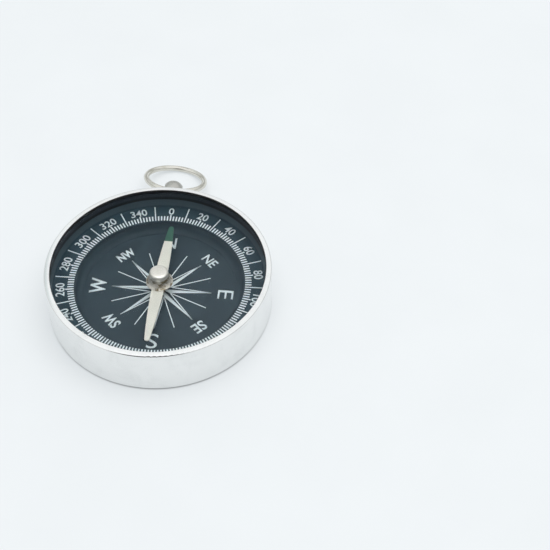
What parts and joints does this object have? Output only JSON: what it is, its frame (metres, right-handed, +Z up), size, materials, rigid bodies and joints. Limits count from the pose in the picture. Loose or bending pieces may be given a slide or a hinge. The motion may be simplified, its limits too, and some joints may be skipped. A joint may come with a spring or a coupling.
{
  "type": "pocket compass",
  "caption": "Round pocket compass: a magnetised needle turns freely on a point above a stepped dial under a clear window, and a wire ring swings from a ball stud on the case's side.",
  "frame": {"origin": "on the case's axis, in the plane of the table that the case's back edge lies on", "axes": "+Z up through the window, along the needle's turning axis; +Y towards the ball stud, with the zero of the degree scale a degree clockwise of it; +X towards the scale's 90"},
  "size_m": [0.045, 0.0612, 0.0104],
  "materials": {
    "case_metal": "polished",
    "back_metal": "polished, fine scratches",
    "window": "clear, flat",
    "gasket_rubber": "matt",
    "scale_plastic": "fine matt, white printed degrees",
    "dial_print": "matt black with a white printed rose",
    "base_plastic": "moulded",
    "brass": "turned",
    "point_steel": "ground",
    "needle_paint": "cream, with a dark green north end",
    "hub_nickel": "satin nickel",
    "jewel_stone": "polished",
    "ring_nickel": "polished nickel"
  },
  "bodies": {
    "case": {"case_body": "case_metal", "back_plate": "back_metal", "dial_base": "base_plastic", "rose_dial": "dial_print", "scale_ring": "scale_plastic", "crystal_gasket": "gasket_rubber", "crystal": "window", "pivot_bush": "brass", "pivot_pin": "point_steel", "pendant_stud": "ring_nickel"},
    "needle": {"needle_blade": "needle_paint", "needle_hub": "hub_nickel", "hub_collar": "brass", "jewel": "jewel_stone"},
    "ring": {"jump_ring": "ring_nickel"}
  },
  "joints": [
    {"name": "needle_spin", "type": "hinge", "parent": "case", "child": "needle", "pos_m": [0, 0, 0.0074], "axis": [0, 0, 1], "continuous": true},
    {"name": "ring_swing", "type": "hinge", "parent": "case", "child": "ring", "pos_m": [0, 0.02625, 0.0053], "axis": [0.9945, 0, -0.1045], "range_deg": [-103, 144]}
  ]
}
